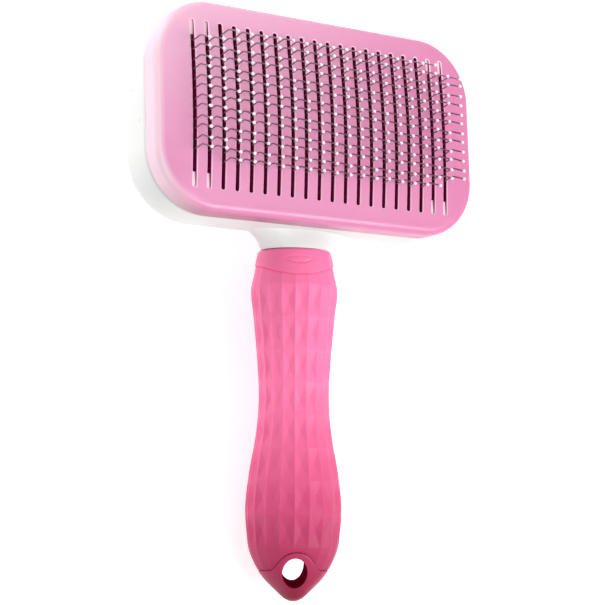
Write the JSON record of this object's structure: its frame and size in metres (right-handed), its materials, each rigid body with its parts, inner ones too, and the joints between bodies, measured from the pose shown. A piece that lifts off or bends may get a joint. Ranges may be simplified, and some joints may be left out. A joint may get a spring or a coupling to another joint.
{
  "type": "slicker brush",
  "caption": "Pet slicker brush: slotted head with bent wire pins, a back button that lifts the face plate to clear hair, and a faceted soft grip.",
  "frame": {"origin": "centre of the overall bounding box, at the plane the brush rests on when it lies on its back", "axes": "+X across the head, +Y from the handle's tip towards the head's top, +Z out of the face plate along the pins"},
  "size_m": [0.1214, 0.1848, 0.0491],
  "materials": {
    "light_pink_plastic": "satin",
    "white_plastic": "satin",
    "dark_plastic": "matt",
    "deep_pink_plastic": "satin",
    "soft_grip": "soft matt",
    "pin_wire": "drawn wire",
    "spring_wire": "drawn wire",
    "screw_steel": "plated"
  },
  "bodies": {
    "brush": {"back_shell": "white_plastic", "pin_base": "dark_plastic", "clamp_plate": "dark_plastic", "handle_core": "deep_pink_plastic", "grip_sleeve": "soft_grip", "pin_row_01": "pin_wire", "pin_row_02": "pin_wire", "pin_row_03": "pin_wire", "pin_row_04": "pin_wire", "pin_row_05": "pin_wire", "pin_row_06": "pin_wire", "pin_row_07": "pin_wire", "pin_row_08": "pin_wire", "pin_row_09": "pin_wire", "pin_row_10": "pin_wire", "pin_row_11": "pin_wire", "pin_row_12": "pin_wire", "pin_row_13": "pin_wire", "pin_row_14": "pin_wire", "pin_row_15": "pin_wire", "pin_row_16": "pin_wire", "pin_row_17": "pin_wire", "pin_row_18": "pin_wire", "pin_row_19": "pin_wire", "pin_row_20": "pin_wire", "return_spring_1": "spring_wire", "return_spring_2": "spring_wire", "return_spring_3": "spring_wire", "return_spring_4": "spring_wire", "base_screw_1": "screw_steel", "base_screw_2": "screw_steel", "base_screw_3": "screw_steel", "base_screw_4": "screw_steel", "clamp_screw_1": "screw_steel", "clamp_screw_2": "screw_steel"},
    "plunger": {"face_plate": "light_pink_plastic", "back_button": "deep_pink_plastic", "post_screw_1": "screw_steel", "post_screw_2": "screw_steel", "post_screw_3": "screw_steel", "post_screw_4": "screw_steel"}
  },
  "joints": [
    {"name": "button_press", "type": "slide", "parent": "brush", "child": "plunger", "axis": [0, 0, 1], "range_m": [0, 0.009], "stiffness_N_per_m": 600, "springref_m": -0.012, "deforming": ["return_spring_1", "return_spring_2", "return_spring_3", "return_spring_4"]}
  ]
}
